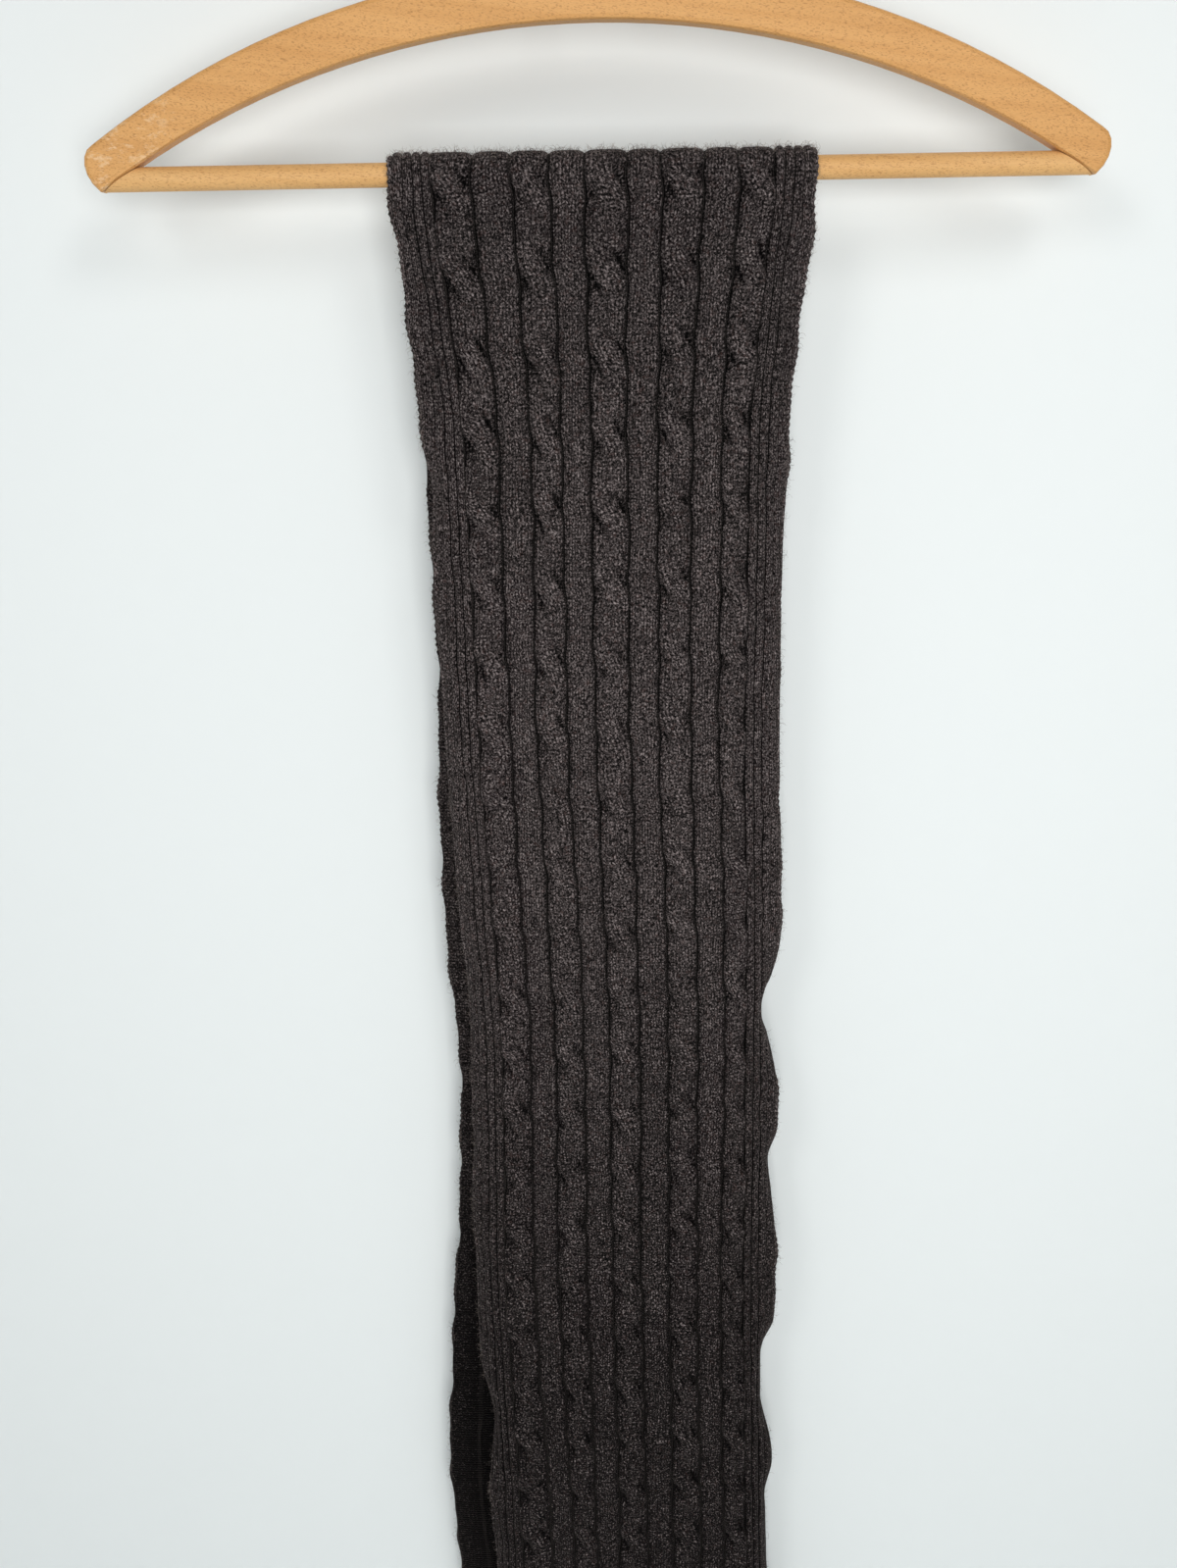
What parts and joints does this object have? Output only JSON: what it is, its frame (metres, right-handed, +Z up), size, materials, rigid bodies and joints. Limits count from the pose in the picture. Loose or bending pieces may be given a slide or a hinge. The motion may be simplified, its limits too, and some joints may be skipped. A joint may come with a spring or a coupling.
{
  "type": "knit scarf on a wooden hanger",
  "caption": "Long cable-knit wool scarf with ribbed borders, folded over the round bar of a flat wishbone wooden hanger with a wire hook.",
  "frame": {"origin": "inner crown of the hanger's hook, where it bears on a rail that runs along Y", "axes": "+X to the viewer's right along the bar, +Y from the front fall towards the back fall, +Z up"},
  "size_m": [0.4366, 0.0333, 1.0388],
  "materials": {
    "wool_knit": "dark charcoal-brown heather wool, cable knit with ribbed borders, matt with a soft fibre halo",
    "beech": "honey beech with short dark flecks, satin clear varnish",
    "steel_wire": "plain bright steel wire"
  },
  "bodies": {
    "root": {"scarf_front": "wool_knit", "scarf_over_bar": "wool_knit", "scarf_back": "wool_knit", "hanger_arm": "beech", "hanger_bar": "beech", "hanger_hook": "steel_wire"}
  },
  "joints": []
}
